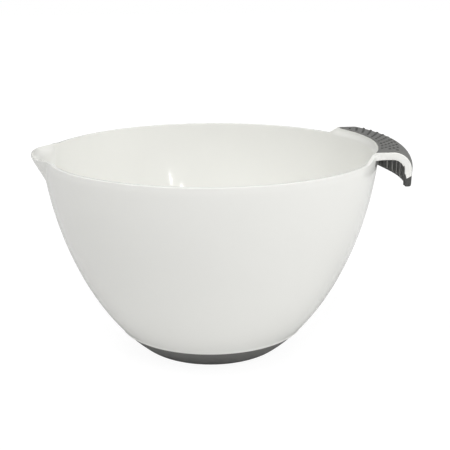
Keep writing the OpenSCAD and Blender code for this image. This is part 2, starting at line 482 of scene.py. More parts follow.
@dataclass(frozen=True)
class Hook:
    """Sizes of the hooked handle: a flat top, a bend and a skirt, concentric with the rim."""

    top_z: float
    skirt_r: float
    width: float
    rim_r: float
    tip_z: float
    tip_bow: float = 3.9 * MM
    bend_r: float = 12.9 * MM
    bend_in_share: float = 0.8
    rib_bend_share: float = 1.0
    thick: float = 4.8 * MM
    rib_w: float = 0.9 * MM
    rib_more: float = 0.3 * MM
    soft_proud: float = 0.3 * MM
    rib_drop: float = 18.3 * MM
    near_ramp: tuple[float, float] = (math.radians(35.6), math.radians(24.0))
    far_ramp: tuple[float, float] = (math.radians(30.4), math.radians(25.2))
    vee_point_share: float = 0.33
    vee_inner_share: float = 0.85
    vee_outer_share: float = 0.4
    tip_taper: float = 0.3 * MM
    tip_taper_in: float = 0.1 * MM
    tip_round: float = 1.3 * MM
    tip_points: int = 8

    @property
    def bend_at(self) -> float:
        """Radius where the flat top turns into the bend."""
        return self.skirt_r - self.bend_r

    @property
    def skirt_in(self) -> float:
        """Radius of the skirt's inner face."""
        return self.skirt_r - self.thick

    @property
    def vee(self) -> Array:
        """The V between an end rib and the tip.

        Returns:
            Points of radius and height: its outer end, its point and its inner end.
        """
        low = self.top_z - self.rib_drop
        return np.array([
            [self.skirt_r, low + self.vee_outer_share * self.thick],
            [self.skirt_in + self.vee_point_share * self.thick, low],
            [self.skirt_in, low + self.vee_inner_share * self.thick]])

    def lift(self, turn: Array, rise: float) -> Array:
        """Rise of the rim beside the handle.

        Args:
            turn: Angles from the handle's middle, negative towards the near end.
            rise: Rise at the handle.

        Returns:
            An ease along the ramp at each end of the handle.
        """
        start, end = np.where(turn[:, None] < 0.0, self.near_ramp, self.far_ramp).T
        return rise * smoothstep((start - np.abs(turn)) / (start - end))

    def outer_side(self, start: float, end_z: float, counts: tuple[int, int, int]) -> Array:
        """The upper face in section: flat top, bend and skirt.

        Args:
            start: Radius where the flat top starts.
            end_z: Height where the skirt ends.
            counts: Points on the flat, the bend and the skirt.

        Returns:
            Points of radius and height.
        """
        corner = (self.bend_at, self.top_z - self.bend_r)
        flat = line((start, self.top_z), (self.bend_at, self.top_z), counts[0])
        bend = arc(corner, self.bend_r, QUARTER_TURN, 0.0, counts[1])
        skirt = line((self.skirt_r, corner[1]), (self.skirt_r, end_z), counts[2])
        return np.concatenate([flat[:-1], bend, skirt[1:]])

    def inner_side(
            self, start: float, end_z: float, counts: tuple[int, int, int], bend_share: float) -> Array:
        """The lower face in section, from the wall outward.

        Args:
            start: Radius where the flat starts.
            end_z: Height where the skirt ends.
            counts: Points on the flat, the bend and the skirt.
            bend_share: Radius of the bend, as a share of one concentric with the upper face.

        Returns:
            Points of radius and height.
        """
        radius = (self.bend_r - self.thick) * bend_share
        low = self.top_z - self.thick
        corner = (self.skirt_in - radius, low - radius)
        flat = line((start, low), (corner[0], low), counts[0])
        bend = arc(corner, radius, QUARTER_TURN, 0.0, counts[1])
        skirt = line((self.skirt_in, corner[1]), (self.skirt_in, end_z), counts[2])
        return np.concatenate([flat[:-1], bend, skirt[1:]])

    def tip_sides(self) -> tuple[Array, Array]:
        """The tip below the V in section.

        Returns:
            Its outer and its inner face, both tapered, each down to the lowest point by a quarter round.
        """
        low, small, count = self.tip_z, self.tip_round, self.tip_points
        outer_end, _, inner_end = self.vee
        face, back = self.skirt_r - self.tip_taper, self.skirt_in + self.tip_taper_in
        outer = np.concatenate([
            line(outer_end, (face, low + small), count)[:-1],
            arc((face - small, low + small), small, 0.0, -QUARTER_TURN, count)])
        inner = np.concatenate([
            line(inner_end, (back, low + small), count)[:-1],
            arc((back + small, low + small), small, math.pi, math.pi + QUARTER_TURN, count)])
        return outer, inner

    def sag(self, outline: Array, stations: Array) -> Array:
        """How far the tip hangs below its ends.

        Args:
            outline: Points of radius and height.
            stations: Distances across the handle.

        Returns:
            The bow times the point's share of the way down the tip, times one less the fourth power of the
            station's share of the half width. One row for each station.
        """
        high = self.top_z - self.rib_drop
        part = np.clip((high - outline[:, 1]) / (high - self.tip_z), 0.0, 1.0)
        return self.tip_bow * part * (1.0 - (stations / (self.width / 2.0)) ** 4)[:, None]


@dataclass(frozen=True)
class Finish:
    """A moulded surface: a colour with a faint mottle, a roughness that varies a little, and a fine grain."""

    name: str
    colour: tuple[float, float, float]
    roughness: float
    mottle: float
    mottle_scale: float
    grain: float
    grain_scale: float
    specular: float = 0.5
    rough_spread: float = 0.1
    mottle_detail: float = 3.0
    mottle_band: tuple[float, float] = (0.3, 0.7)
    grain_detail: float = 2.0
    grain_depth: float = 0.1 * MM

    def material(self) -> bpy.types.Material:
        """The finish as a node material on Object coordinates.

        Returns:
            The material. Its colour is scaled by the painted shade in the UV map, so that a half leaves it as
            it is, less darkens it and more lightens it.
        """
        made = bpy.data.materials.new(self.name)
        made.use_nodes = True
        nodes, links = made.node_tree.nodes, made.node_tree.links
        shader = nodes["Principled BSDF"]
        shader.inputs["Specular IOR Level"].default_value = self.specular
        places = nodes.new("ShaderNodeTexCoord")

        cloud = nodes.new("ShaderNodeTexNoise")
        cloud.inputs["Scale"].default_value = self.mottle_scale
        cloud.inputs["Detail"].default_value = self.mottle_detail
        tint = nodes.new("ShaderNodeValToRGB")
        tones = (1.0 - self.mottle, 1.0 + self.mottle)
        for stop, position, tone in zip(tint.color_ramp.elements, self.mottle_band, tones):
            stop.position = position
            stop.color = (*(min(channel * tone, 1.0) for channel in self.colour), 1.0)
        rough = nodes.new("ShaderNodeMapRange")
        rough.inputs["To Min"].default_value = self.roughness * (1.0 - self.rough_spread)
        rough.inputs["To Max"].default_value = self.roughness * (1.0 + self.rough_spread)
        links.new(places.outputs["Object"], cloud.inputs["Vector"])
        links.new(cloud.outputs["Fac"], tint.inputs["Fac"])
        links.new(cloud.outputs["Fac"], rough.inputs["Value"])
        links.new(rough.outputs["Result"], shader.inputs["Roughness"])

        speckle = nodes.new("ShaderNodeTexNoise")
        speckle.inputs["Scale"].default_value = self.grain_scale
        speckle.inputs["Detail"].default_value = self.grain_detail
        bump = nodes.new("ShaderNodeBump")
        bump.inputs["Strength"].default_value = self.grain
        bump.inputs["Distance"].default_value = self.grain_depth
        links.new(places.outputs["Object"], speckle.inputs["Vector"])
        links.new(speckle.outputs["Fac"], bump.inputs["Height"])
        links.new(bump.outputs["Normal"], shader.inputs["Normal"])

        shade = nodes.new("ShaderNodeSeparateXYZ")
        level = nodes.new("ShaderNodeMath")
        level.operation = "MULTIPLY"
        level.inputs[1].default_value = 1.0 / PLAIN_SHADE
        scaled = nodes.new("ShaderNodeVectorMath")
        scaled.operation = "SCALE"
        links.new(places.outputs["UV"], shade.inputs["Vector"])
        links.new(shade.outputs["X"], level.inputs[0])
        links.new(level.outputs["Value"], scaled.inputs["Scale"])
        links.new(tint.outputs["Color"], scaled.inputs[0])
        links.new(scaled.outputs["Vector"], shader.inputs["Base Color"])
        return made


WHITE_GLOSS = Finish(
    "white_gloss_plastic", (0.928, 0.928, 0.892), roughness=0.1,
    mottle=0.004, mottle_scale=14.0, grain=0.03, grain_scale=900.0)
GRIP_SOFT = Finish(
    "soft_grey_grip", (0.209, 0.209, 0.202), roughness=0.62,
    mottle=0.05, mottle_scale=420.0, grain=0.25, grain_scale=2600.0, specular=0.4)
# The foot is the grip's soft grey set darker: painted shade of the foot.
FOOT_SOFT = Finish(
    "soft_grey_foot", (0.165, 0.165, 0.16), roughness=0.6,
    mottle=0.04, mottle_scale=380.0, grain=0.2, grain_scale=2600.0, specular=0.4)


@dataclass
class Bowl:
    """The white moulding: shell with pouring lip and raised rim, and the two end ribs of the handle."""

    wall: WallCurve
    spout: Spout
    hook: Hook
    foot_t: float
    rim_wall: float = 3.0 * MM
    floor_wall: float = 4.0 * MM
    columns: int = 448
    fine_columns: int = 20001
    root_crowd: float = 3.0
    root_spread: float = math.radians(4.0)
    ramp_crowd: float = 1.5
    ramp_spread: float = math.radians(6.0)
    wall_rows: int = 64
    wall_rows_power: float = 1.35
    lift_depth: float = 45.0 * MM
    lip_rows: int = 15
    lip_power: float = 0.55
    lip_ease: float = 0.3 * MM
    lip_ease_depth: float = 4.0 * MM
    thin_depth: float = 5.0 * MM
    spout_thin: float = 1.9 * MM
    grip_thin: float = 2.3 * MM
    grip_thin_start: float = math.radians(28.5)
    grip_thin_turn: float = math.radians(4.0)
    bead_h: float = 2.4 * MM
    bead_proud: float = 0.45 * MM
    bead_rows: int = 9
    parting_round: float = 0.5 * MM
    parting_power: int = 6
    low_rows: int = 9
    under_edge_rows: int = 5
    floor_edge_rows: int = 7
    flat_rows: int = 6
    pole_share: float = 0.15
    rib_counts: tuple[int, int, int] = (10, 18, 8)
    rib_root_share: float = 0.3
    rib_length: float = 2.0 * MM
    rib_stations: int = 3
    rib_more_points: float = 10.0
    rib_round: float = 0.8 * MM
    fillet_r: float = 8.0 * MM
    fillet_drop: float = 0.4 * MM
    fillet_proud: float = 0.2 * MM
    fillet_in_wall: float = 2.0 * MM
    fillet_in_rib: float = 1.5 * MM
    fillet_columns: int = 12
    fillet_rows: int = 4
    near_fall_share: float = 0.7
    far_fall_share: float = 0.35

    def depth_at(self, share: Array) -> Array:
        """Thickness of the wall at places along it: even growth from the rim to the floor."""
        return self.rim_wall + (self.floor_wall - self.rim_wall) * share

    def low_shares(self) -> Array:
        """Places along the wall curve from the parting with the soft foot down to the foot edge."""
        return np.linspace(self.wall.foot_share, 1.0, self.low_rows)

    def turns(self) -> Array:
        """Angles of the columns.

        Returns:
            Angles at even steps of a running sum, whose slope has a bell at each root of the pouring lip and
            at each of the handle's ramps.
        """
        fine = np.linspace(-math.pi, math.pi, self.fine_columns)
        root = (math.pi - np.abs(fine) - self.spout.level_turn) / self.root_spread
        ramp = (np.abs(fine) - self.hook.near_ramp[1]) / self.ramp_spread
        crowd = 1.0 + self.root_crowd * np.exp(-root ** 2) + self.ramp_crowd * np.exp(-ramp ** 2)
        run = np.concatenate([[0.0], np.cumsum(crowd[1:] + crowd[:-1])])
        return np.interp(np.linspace(0.0, run[-1], self.columns, endpoint=False), run, fine)

    def outer_grid(self, turn: Array, corner: float) -> tuple[Array, Array]:
        """The outer face from the bead above the soft foot up to the lip.

        Heights follow the wall curve and lift towards the rim by the lip's and the handle's rise. The radius
        at a height is the smooth maximum of the wall's and the spout's.

        Args:
            turn: Angles of the columns.
            corner: Width of the smooth maximum, which rounds the spout's root.

        Returns:
            The grid of points, bottom row first, and each row's place along the wall curve.
        """
        from_lip = math.pi - np.abs(turn)
        top = float(self.wall.share_at(self.wall.height - self.rim_wall / 2.0))
        foot = self.wall.foot_share
        start = foot - self.bead_h / self.wall.speed(foot, -SMALL_SHARE)
        up = np.linspace(0.0, 1.0, self.wall_rows)
        share = top + (start - top) * (1.0 - up) ** self.wall_rows_power
        plain = self.wall.at(share)[:, 1]
        rise = self.spout.lift(from_lip) + self.hook.lift(turn, self.hook.top_z - self.wall.height)
        ease = smoothstep((plain - plain[-1]) / self.lift_depth + 1.0)
        height = plain[:, None] + ease[:, None] * rise
        drop = self.wall.height + self.spout.rise - height
        front = self.spout.radius(from_lip, drop, self.wall.rim_r)
        radius = smooth_max(self.wall.radius_at(height), front, corner)
        return np.stack([radius * np.cos(turn), radius * np.sin(turn), height], axis=-1), share

    def thickness(self, share: Array, turn: Array) -> Array:
        """Thickness of the wall over the outer grid.

        Args:
            share: Each row's place along the wall curve.
            turn: Angles of the columns.

        Returns:
            The wall's even growth, less a loss near the top: all of it under the grip, and towards the middle
            of the pouring lip as the square of an ease.
        """
        height = self.wall.at(share)[:, 1]
        near_top = smoothstep(1.0 - (height[-1] - height) / self.thin_depth)
        at_grip = smoothstep((self.grip_thin_start - np.abs(turn)) / self.grip_thin_turn)
        at_lip = smoothstep((self.spout.step_turn - math.pi + np.abs(turn)) / self.spout.half_turn) ** 2
        loss = self.grip_thin * at_grip + self.spout_thin * at_lip
        return self.depth_at(share)[:, None] - near_top[:, None] * loss

    def lip(self, outer: Array, inner: Array, up: Array) -> Array:
        """The lip from the outer to the inner face.

        Args:
            outer: Top row of the outer face.
            inner: Top row of the inner face.
            up: Direction up the wall at each column.

        Returns:
            The rows of the upper half of a flattened circle: the cosine and the sine of a half turn, each to
            a power below 1.
        """
        turn = np.linspace(0.0, math.pi, self.lip_rows)[1:-1, None, None]
        across = np.sign(np.cos(turn)) * np.abs(np.cos(turn)) ** self.lip_power
        rise = np.sin(turn) ** self.lip_power * self.rim_wall / 2.0
        return (outer + inner) / 2.0 + across * (outer - inner) / 2.0 + rise * up

    def under_section(self, top: float) -> Array:
        """The underside in section, from near the axis out behind the soft foot and up over the bead.

        Args:
            top: Place along the wall curve where the outer face starts.

        Returns:
            Points of radius and height. The bead is half a sine wave, less a rounding at the parting.
        """
        foot, land = self.wall.foot_share, self.wall.land_r
        up = np.linspace(0.0, 1.0, self.bead_rows, endpoint=False)
        rounding = self.parting_round * (1.0 - up) ** self.parting_power
        return np.concatenate([
            line((land * self.pole_share, self.foot_t), (land, self.foot_t), self.flat_rows)[:-1],
            self.wall.foot_edge(self.under_edge_rows, self.foot_t)[::-1],
            self.wall.at(self.low_shares()[::-1], self.foot_t)[1:],
            self.wall.at(foot + (top - foot) * up, rounding - self.bead_proud * np.sin(math.pi * up))])

    def floor_section(self) -> Array:
        """The inside below the parting in section.

        Returns:
            Points of radius and height, from the wall down and in to near the axis.
        """
        low, land = self.low_shares(), self.wall.land_r
        return np.concatenate([
            self.wall.at(low, self.depth_at(low))[1:],
            self.wall.foot_edge(self.floor_edge_rows, self.floor_wall)[1:],
            line((land, self.floor_wall), (land * self.pole_share, self.floor_wall), self.flat_rows)[1:]])

    def shell(self) -> Surface:
        """The whole shell as one closed grid of rows, from the middle underneath to the middle of the floor.

        The inner face is the outer one, with a softer root of the pouring lip, moved inward along its normals
        by the wall's thickness. The outer face then eases inward near its top as a square of the height.

        Returns:
            The surface, each pole one point.
        """
        turn = self.turns()
        outer, share = self.outer_grid(turn, self.spout.corner)
        soft = self.outer_grid(turn, self.spout.corner_in)[0]
        up = unit(np.gradient(soft, axis=0))
        normal = unit(np.cross(np.roll(soft, -1, axis=1) - np.roll(soft, 1, axis=1), up))
        inner = (soft - self.thickness(share, turn)[..., None] * normal)[::-1]
        depth = np.linalg.norm(outer[-1] - outer, axis=-1, keepdims=True)
        outer = outer - self.lip_ease * np.maximum(1.0 - depth / self.lip_ease_depth, 0.0) ** 2 * normal
        lip = self.lip(outer[-1], inner[0], up[-1])
        under, floor = turned(self.under_section(share[0]), turn), turned(self.floor_section(), turn)
        grid = np.concatenate([under, outer, lip, inner, floor])
        rows, cols = grid.shape[:2]
        points = np.concatenate([grid.reshape(-1, 3), [self.foot_t * UP, self.floor_wall * UP]])
        first = np.arange(cols)
        beside, last, pole = np.roll(first, -1), (rows - 1) * cols, np.full(cols, rows * cols)
        triangles = np.concatenate([
            np.stack([pole, beside, first], axis=1),
            np.stack([pole + 1, last + first, last + beside], axis=1)])
        return Surface(points, grid_faces(rows, cols), triangles)

    def rib(self) -> Surface:
        """The far end rib.

        Its underside lies a little lower than the hook's, its end face is rounded, and it ends in a V that
        points down. The V's own points stay where they are, so that the tip fits them.

        Returns:
            The surface.
        """
        hook, half = self.hook, self.hook.width / 2.0
        start = hook.rim_r - self.rib_root_share * self.rim_wall
        outer_end, point, inner_end = hook.vee
        outer = hook.outer_side(start, outer_end[1], self.rib_counts)
        inner = hook.inner_side(start, inner_end[1], self.rib_counts, hook.rib_bend_share)
        outline = np.concatenate([outer, [point, point], inner[::-1]])
        # Counted from the first of the two at the V's point, the V's own points are -1 to 2.
        past_outer = np.arange(len(outline)) - len(outer)
        free = (past_outer < -1) | (past_outer > 2)
        stations, inset = rounded_ends(half - self.rib_length, half, self.rib_round, self.rib_stations, False)
        more = hook.rib_more * smoothstep((past_outer - 2) / self.rib_more_points)
        return swept(outline, stations, more - inset[:, None] * free)

    def fillet(self, fall_share: float) -> Surface:
        """The fillet between the far end rib and the raised rim.

        In plan it is a hollow arc, tangent to the wall at one end and to the rib's end face at the other. It
        is carried up from the rib's underside, and its radius grows by the inset of a quarter round at the
        bottom and the top.

        Args:
            fall_share: Height of the fillet at the wall, as a share of its height at the rib.

        Returns:
            The surface, closed by a back inside the wall and the rib.
        """
        hook, radius, half = self.hook, self.fillet_r, self.hook.width / 2.0
        low, high = hook.top_z - hook.thick - hook.rib_more, hook.top_z - self.fillet_drop
        wall_r = hook.rim_r + self.fillet_proud
        centre = np.array([math.sqrt((wall_r + radius) ** 2 - (half + radius) ** 2), half + radius])
        turn = np.linspace(-QUARTER_TURN, math.atan2(centre[1], centre[0]) - math.pi, self.fillet_columns)
        levels, inset = rounded_ends(low, high, self.rib_round, self.fillet_rows)
        front = centre + (radius + inset[:, None, None]) * np.stack([np.cos(turn), np.sin(turn)], axis=1)
        in_wall = centre * (wall_r - self.fillet_in_wall) / (wall_r + radius)
        in_rib = centre - [0.0, radius + self.fillet_in_rib]
        back = np.broadcast_to(line(in_wall, in_rib, len(turn)), front.shape)
        reach = np.linspace(1.0, fall_share, len(turn))
        level = low + (levels[:, None] - low) * np.concatenate([reach, reach[::-1]])
        points = np.concatenate([np.concatenate([front, back], axis=1), level[..., None]], axis=-1)
        return Surface(points, np.concatenate([grid_faces(*level.shape), end_quads(*level.shape)]))

    def build(self) -> bpy.types.Object:
        """Builds the shell and the two ribs with their fillets as one moulding.

        Returns:
            The piece.
        """
        far = self.rib().joined(self.fillet(self.far_fall_share))
        near = self.rib().joined(self.fillet(self.near_fall_share)).mirrored()
        return self.shell().joined(far, near).piece("bowl_moulding")

    def dress(self, piece: bpy.types.Object) -> None:
        """Gives the moulding its finish and its place in the part.

        Args:
            piece: The moulding.
        """
        piece.data.materials.append(WHITE_GLOSS.material())
        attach(piece, ROOT)
        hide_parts(Node.BOWL.value, Node.FRAME.value)


@dataclass
class HandleGrip:
    """The soft wrap of the handle: studded top, skirt, ribbed lining, the lap down the wall, and the tip."""

    hook: Hook
    edge_r: float = 117.92 * MM
    edge_round: float = 0.3 * MM
    edge_points: int = 4
    soft_t: float = 1.4 * MM
    upper_counts: tuple[int, int, int] = (14, 30, 4)
    lower_counts: tuple[int, int, int] = (12, 18, 6)
    stations: int = 160
    proud_share: float = 0.5
    # Painted shade: darkens the same grey on the lining under the hook, where less light falls.
    underside_painted_shade: float = 0.24
    stud_columns: int = 5
    stud_first_r: float = 120.4 * MM
    stud_step: float = 2.62 * MM
    stud_steps: int = 8
    stud_pitch: float = math.radians(4.35)
    stud_slant: float = math.radians(1.78)
    stud_phase: float = math.radians(3.16)
    stud_limit: float = math.radians(20.8)
    stud_r: float = 0.85 * MM
    stud_h: float = 0.6 * MM
    stud_round: float = 0.12 * MM
    stud_ring_share: float = 0.5
    stud_sides: int = 16
    # Painted shade: darkens the studs as if their sides were in shadow.
    stud_painted_shade: float = 0.3
    lining_pitch: float = math.radians(4.2)
    lining_phase: float = math.radians(2.6)
    lining_count: int = 5
    lining_half: float = 0.5 * MM
    lining_h: float = 0.7 * MM
    lining_round: float = 0.15 * MM
    lining_below: float = 1.5 * MM
    lining_above: float = 1.0 * MM
    # Painted highlight on the lining ribs near the middle, fading out by turn.
    rib_highlight_fade: tuple[float, float] = (1.8, 2.6)
    rib_painted_highlight: float = 1.3
    end_round: float = 0.8 * MM
    end_lap: float = 0.1 * MM
    end_stations: int = 3
    # Painted shade: darkens the tip's end face, the same grey as the grip's top.
    tip_painted_shade: float = 0.21
    lap: float = 4.5 * MM
    lap_t: float = 0.35 * MM
    lap_in: float = 0.8 * MM
    lap_fillet: float = 1.0 * MM
    lap_round: float = 0.4 * MM
    lap_counts: tuple[int, int, int] = (6, 5, 5)
    lap_stations: int = 60

    def upper_side(self) -> Array:
        """The upper face in section.

        Returns:
            Points of radius and height, from a small round at the inner edge out to the V's outer end.
        """
        hook, small = self.hook, self.edge_round
        start = self.edge_r + small
        edge = arc((start, hook.top_z - small), small, math.pi, QUARTER_TURN, self.edge_points)
        return np.concatenate([edge, hook.outer_side(start, hook.vee[0, 1], self.upper_counts)[1:]])

    def lower_side(self, start: float) -> Array:
        """The lining in section, from a start radius out and down to the tip's lowest point."""
        lining = self.hook.inner_side(start, self.hook.vee[2, 1], self.lower_counts, self.hook.bend_in_share)
        return np.concatenate([lining, self.hook.tip_sides()[1][1:]])

    def wrap(self) -> Surface:
        """The wrap and the tip between the end ribs.

        Its outline is the upper face with the tip, the lining back up, and a closing line inside the rim, as
        many points on the way out as on the way back. The upper face stands a little proud of the ribs, by an
        ease that starts at the V, and draws in at its ends.

        Returns:
            The surface, with painted shade on its underside under the hook.
        """
        hook, inside = self.hook, self.hook.rim_r
        upper, tip, lower = self.upper_side(), hook.tip_sides()[0][1:], self.lower_side(self.hook.rim_r)
        front = len(upper) + len(tip)
        ends = (inside, hook.top_z - hook.thick), (inside, hook.top_z - self.soft_t)
        closing = line(*ends, front - len(lower) + 1)[1:]
        outline = np.concatenate([upper, tip, lower[::-1], closing])
        number = np.arange(len(outline))
        ease = smoothstep((outline[:, 1] - hook.vee[0, 1]) / (self.proud_share * hook.bend_r))
        half = hook.width / 2.0 - hook.rib_w
        stations, inset = rounded_ends(-half, half, hook.soft_proud, self.stations)
        proud = ease * (hook.soft_proud * (number < front) - inset[:, None] * (number < len(upper)))
        # Painted shade on the underside, under the hook.
        shade = np.where(number < front, PLAIN_SHADE, self.underside_painted_shade)
        sag = hook.sag(outline, stations)
        return swept(outline, stations, proud, sag, shade=np.tile(shade, len(stations)))

    def studs(self) -> Surface:
        """The studs on the top.

        Centres lie in columns a step apart along the section, a pitch apart along each, and each column is
        turned on by the slant. A stud is a profile turned about the section's normal: a flat underside, a
        straight side, a small round and a flat top.

        Returns:
            The surface, darkened as painted shade of the studs' shadowed sides.
        """
        section = self.upper_side()
        run = np.concatenate([[0.0], np.cumsum(np.linalg.norm(np.diff(section, axis=0), axis=1))])
        column = np.arange(self.stud_columns)
        at = self.stud_first_r - self.edge_r + column * self.stud_step
        place = np.stack([np.interp(at, run, values) for values in section.T], axis=1)
        lean = np.maximum(at - (self.hook.bend_at - self.edge_r), 0.0) / self.hook.bend_r
        steps = np.arange(-self.stud_steps, self.stud_steps + 1) * self.stud_pitch
        turn = self.stud_phase + column[:, None] * self.stud_slant + steps
        which, number = np.nonzero(np.abs(turn) < self.stud_limit)
        turn, lean, place = turn[which, number], lean[which, None], place[which]
        out = np.stack([np.cos(turn), np.sin(turn), np.zeros_like(turn)], axis=1)
        along = np.cross(UP, out)
        axis = np.sin(lean) * out + np.cos(lean) * UP
        across = np.cross(along, axis)
        foot = place[:, :1] * out + place[:, 1:] * UP
        radius, top, small = self.stud_r, self.stud_h + self.hook.soft_proud, self.stud_round
        cut = ROUND_MIDDLE_SHARE * small
        profile = np.array([
            [0.0, -small], [radius, -small], [radius, top - small], [radius - cut, top - cut],
            [radius - small, top], [self.stud_ring_share * radius, top], [0.0, top]])
        round_turn = np.linspace(0.0, 2.0 * math.pi, self.stud_sides, endpoint=False)[:, None, None]
        ring = np.cos(round_turn) * along + np.sin(round_turn) * across
        points = foot + profile[:, None, None, :1] * ring + profile[:, None, None, 1:] * axis
        points = points.transpose(2, 0, 1, 3)
        # The studs are darkened as painted shade.
        return Surface(points, copies_faces(*points.shape[:3]), shade=self.stud_painted_shade)

    def lining_ribs(self) -> Surface:
        """The ribs on the lining.

        A rib is a flat-topped profile carried down the lining's section at one turn: its place is the
        section's point plus the distance across times the tangent and the height times the inward normal.
        Both ends sink into the lining.

        Returns:
            The surface. The ribs near the middle carry a painted highlight, and the others fade into the
            lining's painted shade.
        """
        hook = self.hook
        path = self.lower_side(hook.bend_at)
        high, low = hook.top_z - hook.thick - self.lining_below, hook.tip_z + self.lining_above
        path = path[(path[:, 1] < high) & (path[:, 1] > low)]
        way = unit(np.gradient(path, axis=0))
        normal = np.stack([way[:, 1], -way[:, 0]], axis=1)
        turn = self.lining_phase + np.arange(-self.lining_count - 1, self.lining_count) * self.lining_pitch
        half, top, small = self.lining_half, self.lining_h, self.lining_round
        profile = np.array([
            [-half, -small], [-half, top - small], [-half + small, top],
            [half - small, top], [half, top - small], [half, -small]])
        height = np.tile(profile[:, 1], (len(path), 1))
        height[[0, -1]] = -small
        moved = path[:, None] + height[..., None] * normal[:, None]
        out = np.stack([np.cos(turn), np.sin(turn)], axis=1)[:, None, None]
        along = np.stack([-np.sin(turn), np.cos(turn)], axis=1)[:, None, None]
        level = moved[..., :1] * out + profile[:, :1] * along
        sag = hook.sag(path, moved[:, 0, 0].mean() * np.sin(turn))[:, :, None]
        points = np.concatenate([level, (moved[..., 1] - sag)[..., None]], axis=-1)
        count, rows, cols = points.shape[:3]
        # Painted highlight on the ribs near the middle, fading into the painted shade further out.
        full, none = self.rib_highlight_fade
        fade = self.lining_pitch * np.array([-none, -full, full, none])
        dark, light = self.underside_painted_shade, self.rib_painted_highlight
        shade = np.interp(turn, fade, [dark, light, light, dark])
        return Surface(points, copies_faces(count, rows, cols), shade=np.repeat(shade, rows * cols))

    def tip_end(self) -> Surface:
        """The tip under the far end rib, filling the rib's V and rounded at its end face.

        Returns:
            The surface, darkened by painted shade. The V's points stay where they are, so that the rib fits
            them.
        """
        hook, half = self.hook, self.hook.width / 2.0
        outer, inner = hook.tip_sides()
        outline = np.concatenate([[hook.vee[1]], outer, inner[::-1]])
        free = np.ones(len(outline))
        free[[0, 1, -1]] = 0.0
        start = half - hook.rib_w - self.end_lap
        stations, inset = rounded_ends(start, half, self.end_round, self.end_stations, False)
        sag = hook.sag(outline, stations)
        # The tip is darkened as painted shade.
        return swept(outline, stations, -inset[:, None] * free, sag, fan=True, shade=self.tip_painted_shade)

    def lap_pad(self) -> Surface:
        """The lap down the bowl's wall: a thin pad over the handle's whole width.

        Returns:
            The surface, with a fillet under the lining, and rounded at its foot and its ends.
        """
        hook, half = self.hook, self.hook.width / 2.0
        inside, face = hook.rim_r - self.lap_in, hook.rim_r + self.lap_t
        fillet, small = self.lap_fillet, self.lap_round
        low = hook.top_z - hook.thick
        foot = low - self.lap
        outer = np.concatenate([
            [[face + fillet, low + small]],
            arc((face + fillet, low - fillet), fillet, QUARTER_TURN, math.pi, self.lap_counts[0]),
            line((face, low - fillet), (face, foot + small), self.lap_counts[1])[1:],
            arc((face - small, foot + small), small, 0.0, -QUARTER_TURN, self.lap_counts[2])[1:]])
        inner = line((inside, low + small), (inside, foot), len(outer))
        outline = np.concatenate([outer, inner[::-1]])
        stations, inset = rounded_ends(-half, half, small, self.lap_stations)
        return swept(outline, stations, np.tile(-inset[:, None], len(outline)))

    def build(self) -> bpy.types.Object:
        """Builds the wrap, studs, lining ribs, the two ends of the tip and the lap as one soft moulding.

        Returns:
            The piece.
        """
        end = self.tip_end()
        whole = self.wrap().joined(self.studs(), self.lining_ribs(), end, end.mirrored(), self.lap_pad())
        return whole.piece("soft_grip")

    def dress(self, piece: bpy.types.Object) -> None:
        """Gives the grip its finish and its place in the part.

        Args:
            piece: The grip.
        """
        piece.data.materials.append(GRIP_SOFT.material())
        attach(piece, ROOT)
        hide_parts(Node.GRIP.value)


@dataclass
class FootRing:
    """The soft foot: a skin over the wall's lower end, with a flat ring that touches the table."""

    wall: WallCurve
    soft_t: float
    land_w: float = 7.0 * MM
    edge_round: float = 0.45 * MM
    round_points: int = 5
    wall_points: int = 24
    edge_points: int = 12
    back_edge_points: int = 6
    back_points: int = 8
    columns: int = 384

    def section(self) -> Array:
        """The closed section, clockwise: outer face down, flat ring, inner edge, and back up behind.

        Returns:
            Points of radius and height, with a quarter round at the parting and at the ring's inner edge.
        """
        wall, small = self.wall, self.edge_round
        foot = wall.foot_share
        turn = np.linspace(0.0, QUARTER_TURN, self.round_points)
        share = foot + small / wall.speed(foot, SMALL_SHARE) * (1.0 - np.cos(turn))
        inner_r = wall.land_r - self.land_w
        return np.concatenate([
            wall.at(share, small * (1.0 - np.sin(turn))),
            wall.at(np.linspace(share[-1], 1.0, self.wall_points))[1:],
            wall.foot_edge(self.edge_points, 0.0)[1:],
            arc((inner_r + small, small), small, -QUARTER_TURN, -math.pi, self.round_points),
            [[inner_r, self.soft_t]],
            wall.foot_edge(self.back_edge_points, self.soft_t)[::-1],
            wall.at(np.linspace(1.0, foot, self.back_points), self.soft_t)[1:]])

    def build(self) -> bpy.types.Object:
        """Builds the ring by turning its section about the axis."""
        grid = turned(self.section(), np.linspace(-math.pi, math.pi, self.columns, endpoint=False))
        return Surface(grid, grid_faces(*grid.shape[:2], wrap_rows=True)).piece("soft_foot")

    def dress(self, piece: bpy.types.Object) -> None:
        """Gives the foot its finish and its place in the part.

        Args:
            piece: The foot.
        """
        piece.data.materials.append(FOOT_SOFT.material())
        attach(piece, ROOT)
        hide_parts(Node.FOOT.value)


@dataclass(frozen=True)
class AreaLamp:
    """A soft lamp that looks at the bowl, and shows in the gloss or not."""

    name: str
    place: tuple[float, float, float]
    size: tuple[float, float]
    power: float
    in_gloss: bool = False
    target: tuple[float, float, float] = (0.0, 0.0, 0.1)

    def build(self) -> None:
        """Adds the lamp to the scene."""
        lamp = bpy.data.lights.new(self.name, "AREA")
        lamp.shape = "RECTANGLE"
        lamp.size, lamp.size_y = self.size
        lamp.energy = self.power
        holder = bpy.data.objects.new(self.name, lamp)
        holder.visible_glossy = self.in_gloss
        holder.location = self.place
        way = Vector(self.target) - Vector(self.place)
        holder.rotation_euler = way.to_track_quat("-Z", "Y").to_euler()
        bpy.context.scene.collection.objects.link(holder)


